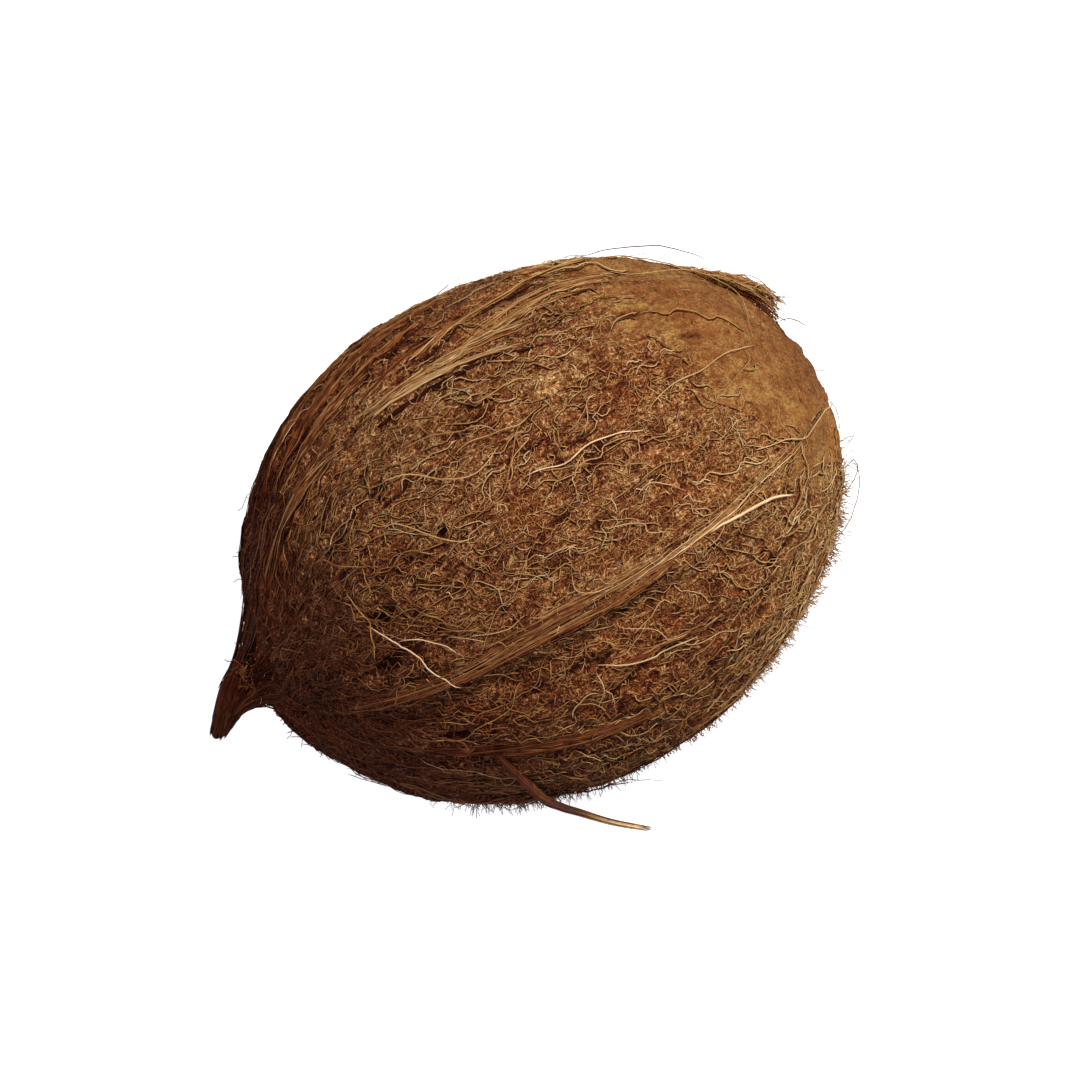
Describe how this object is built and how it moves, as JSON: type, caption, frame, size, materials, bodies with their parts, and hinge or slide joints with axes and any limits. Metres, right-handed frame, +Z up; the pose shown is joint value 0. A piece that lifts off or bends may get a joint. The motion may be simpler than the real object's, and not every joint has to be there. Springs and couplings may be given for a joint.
{
  "type": "coconut",
  "caption": "Husked coconut lying on its side: an ovoid nut clad in brown husk fibre, with a drooping tuft at the pointed end and loose wiry strands.",
  "frame": {"origin": "middle of the small flat spot that the nut rests on, under its lowest point", "axes": "+X along the nut to its blunt end, level; -X to the tuft at the pointed end; +Z up, away from the surface it rests on"},
  "size_m": [0.1428, 0.1061, 0.1025],
  "materials": {
    "coir": "rough matte brown husk fibre"
  },
  "bodies": {
    "root": {"coconut": "coir"}
  },
  "joints": []
}
